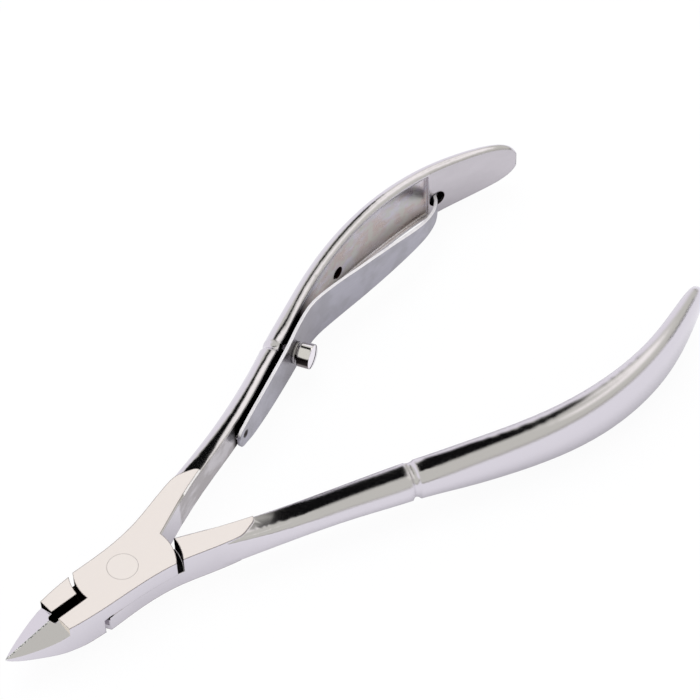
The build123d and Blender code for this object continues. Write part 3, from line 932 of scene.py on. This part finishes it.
# %% [markdown]
# ## The stud and its collar
# The stud is a small screw turned on a lathe: a neck, a cheese head with soft
# edges and a slightly domed end, and one sawn slot. Its profile is spun about
# the lathe's axis. Close pairs of points beside each edge keep the shading of
# the flat places flat.


# %% Turning
def turned(profile, closed):
    """Bmesh spun about the stud's axis from (radius, height) points."""
    shape = bmesh.new()
    verts = [shape.verts.new((r, 0, h)) for r, h in profile]
    pairs = list(zip(verts, verts[1:])) + ([(verts[-1], verts[0])] if closed else [])
    line = [shape.edges.new(pair) for pair in pairs]
    bmesh.ops.spin(
        shape, geom=verts + line, cent=(0, 0, 0), axis=(0, 0, 1),
        angle=radians(360), steps=64, use_merge=True, use_duplicate=False,
    )
    bmesh.ops.remove_doubles(shape, verts=shape.verts, dist=0.0005)
    bmesh.ops.recalc_face_normals(shape, faces=shape.faces)
    return shape


def seat_on_leaf(shape):
    """Turn a shape from the lathe's axis to the stud's, and put it on the leaf."""
    turn = Matrix((STUD_RUN, Vector((0, 0, 1)), STUD_OUT)).transposed().to_4x4()
    bmesh.ops.transform(shape, matrix=Matrix.Translation(STUD_FOOT) @ turn, verts=shape.verts)


# %% Profile of the stud
NECK_R, SEAT_DEEP = 1.0, 3.7
HEAD_R, HEAD_LOW, HEAD_LONG, HEAD_DOME = 1.9, 0.8, 1.95, 0.3
NECK_STEP = 0.02
LOWER_EDGE = ((0.16, 0), (0.05, 0.04), (0, 0.15), (0, 0.25))
UPPER_EDGE = ((0, -0.22), (0, -0.12), (0.04, -0.03), (0.13, 0.03))
DOME_ROWS = (0.9, 0.8, 0.6, 0.4, 0.2)

head_top = HEAD_LOW + HEAD_LONG
head_end = head_top + HEAD_DOME
dome_r = (HEAD_R**2 + HEAD_DOME**2) / (2 * HEAD_DOME)
profile = [(0, -SEAT_DEEP), (NECK_R, -SEAT_DEEP), (NECK_R, HEAD_LOW + NECK_STEP)]
profile += [(HEAD_R - inset, HEAD_LOW + rise) for inset, rise in LOWER_EDGE]
profile += [(HEAD_R - inset, head_top + rise) for inset, rise in UPPER_EDGE]
for r in (HEAD_R * share for share in DOME_ROWS):
    profile.append((r, head_end - dome_r + (dome_r**2 - r * r) ** 0.5))
profile.append((0, head_end))
screw = turned(profile, closed=False)
print("turned stud:", len(screw.faces), "faces")

# %% [markdown]
# For the slot the head is cut by two planes beside it and by one at its
# floor. The faces between the planes go, and three new faces close the cut:
# a wall on each side and the floor.

# %% Sawn slot
SLOT_WIDE, SLOT_DEEP, SLOT_TURN = 0.4, 0.7, radians(40)
NEAR, STUD_SHARP = 0.0001, 30


def saw(shape, point, normal):
    """Cut every face of the shape along a plane and keep both sides."""
    everything = shape.verts[:] + shape.edges[:] + shape.faces[:]
    bmesh.ops.bisect_plane(
        shape, geom=everything, dist=NEAR / 10, plane_co=point, plane_no=normal
    )


floor_h = head_end - SLOT_DEEP
beside_slot = Vector((-sin(SLOT_TURN), cos(SLOT_TURN), 0))
for way in (-1, 1):
    saw(screw, beside_slot * way * SLOT_WIDE / 2, beside_slot)
saw(screw, (0, 0, floor_h), (0, 0, 1))
inside = []
for face in screw.faces:
    middle = face.calc_center_median()
    if abs(middle.dot(beside_slot)) < SLOT_WIDE / 2 and middle.z > floor_h:
        inside.append(face)
bmesh.ops.delete(screw, geom=inside, context="FACES")
print("slot cut from", len(inside), "faces")


# %% Walls and floor of the slot
def on_floor(vert):
    """Whether a point lies at the height of the slot's floor."""
    return abs(vert.co.z - floor_h) < NEAR


def on_wall(vert, way):
    """Whether a point lies in the plane of one wall."""
    return abs(vert.co.dot(beside_slot) - way * SLOT_WIDE / 2) < NEAR


rim = [e for e in screw.edges if e.is_boundary]
rim_verts = [v for v in screw.verts if v.is_boundary]
floor_rim = [e for e in rim if all(on_floor(v) for v in e.verts)]
for way in (-1, 1):
    chord = screw.edges.new([v for v in rim_verts if on_floor(v) and on_wall(v, way)])
    wall = [e for e in rim if all(on_wall(v, way) for v in e.verts)]
    bmesh.ops.contextual_create(screw, geom=wall + [chord])
    floor_rim.append(chord)
bmesh.ops.contextual_create(screw, geom=floor_rim)
print("open edges of the stud:", sum(e.is_boundary for e in screw.edges))
seat_on_leaf(screw)
finished(
    screw, "slotted_stud", stud_steel, "spring_side", "spring_stud", STUD_SHARP
)

# %% [markdown]
# The collar is a loose turned ring on the stud's neck. Its closed profile has
# a small chamfer at each corner.

# %% Collar
COLLAR_R, COLLAR_THICK, CHAMFER = 1.7, 0.45, 0.08
COLLAR_PLAY, COLLAR_SHARP = 0.12, 50
bore = NECK_R + COLLAR_PLAY
ring = [(bore, CHAMFER), (bore + CHAMFER, 0), (COLLAR_R - CHAMFER, 0), (COLLAR_R, CHAMFER)]
ring += [(COLLAR_R, COLLAR_THICK - CHAMFER), (COLLAR_R - CHAMFER, COLLAR_THICK)]
ring += [(bore + CHAMFER, COLLAR_THICK), (bore, COLLAR_THICK - CHAMFER)]
washer = turned(ring, closed=True)
seat_on_leaf(washer)
finished(
    washer, "collar_ring", collar_steel, "leaf", "stud_collar", COLLAR_SHARP
)

# %% [markdown]
# ## Finish on the measured solids
# The two halves and the rivet already have their true shape, so they keep
# their measured meshes and only receive their finishes. The three solids
# that are replaced get theirs too, though they are hidden.

# %% Finish on the solids
for node, finish in (
    ("spring_half", half_steel),
    ("plain_half", half_steel),
    ("joint_rivet", rivet_steel),
    ("leaf_spring", spring_steel),
    ("stud_collar", collar_steel),
    ("spring_stud", stud_steel),
):
    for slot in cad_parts[node].material_slots:
        slot.material = finish
    print(node, "has", finish.name)
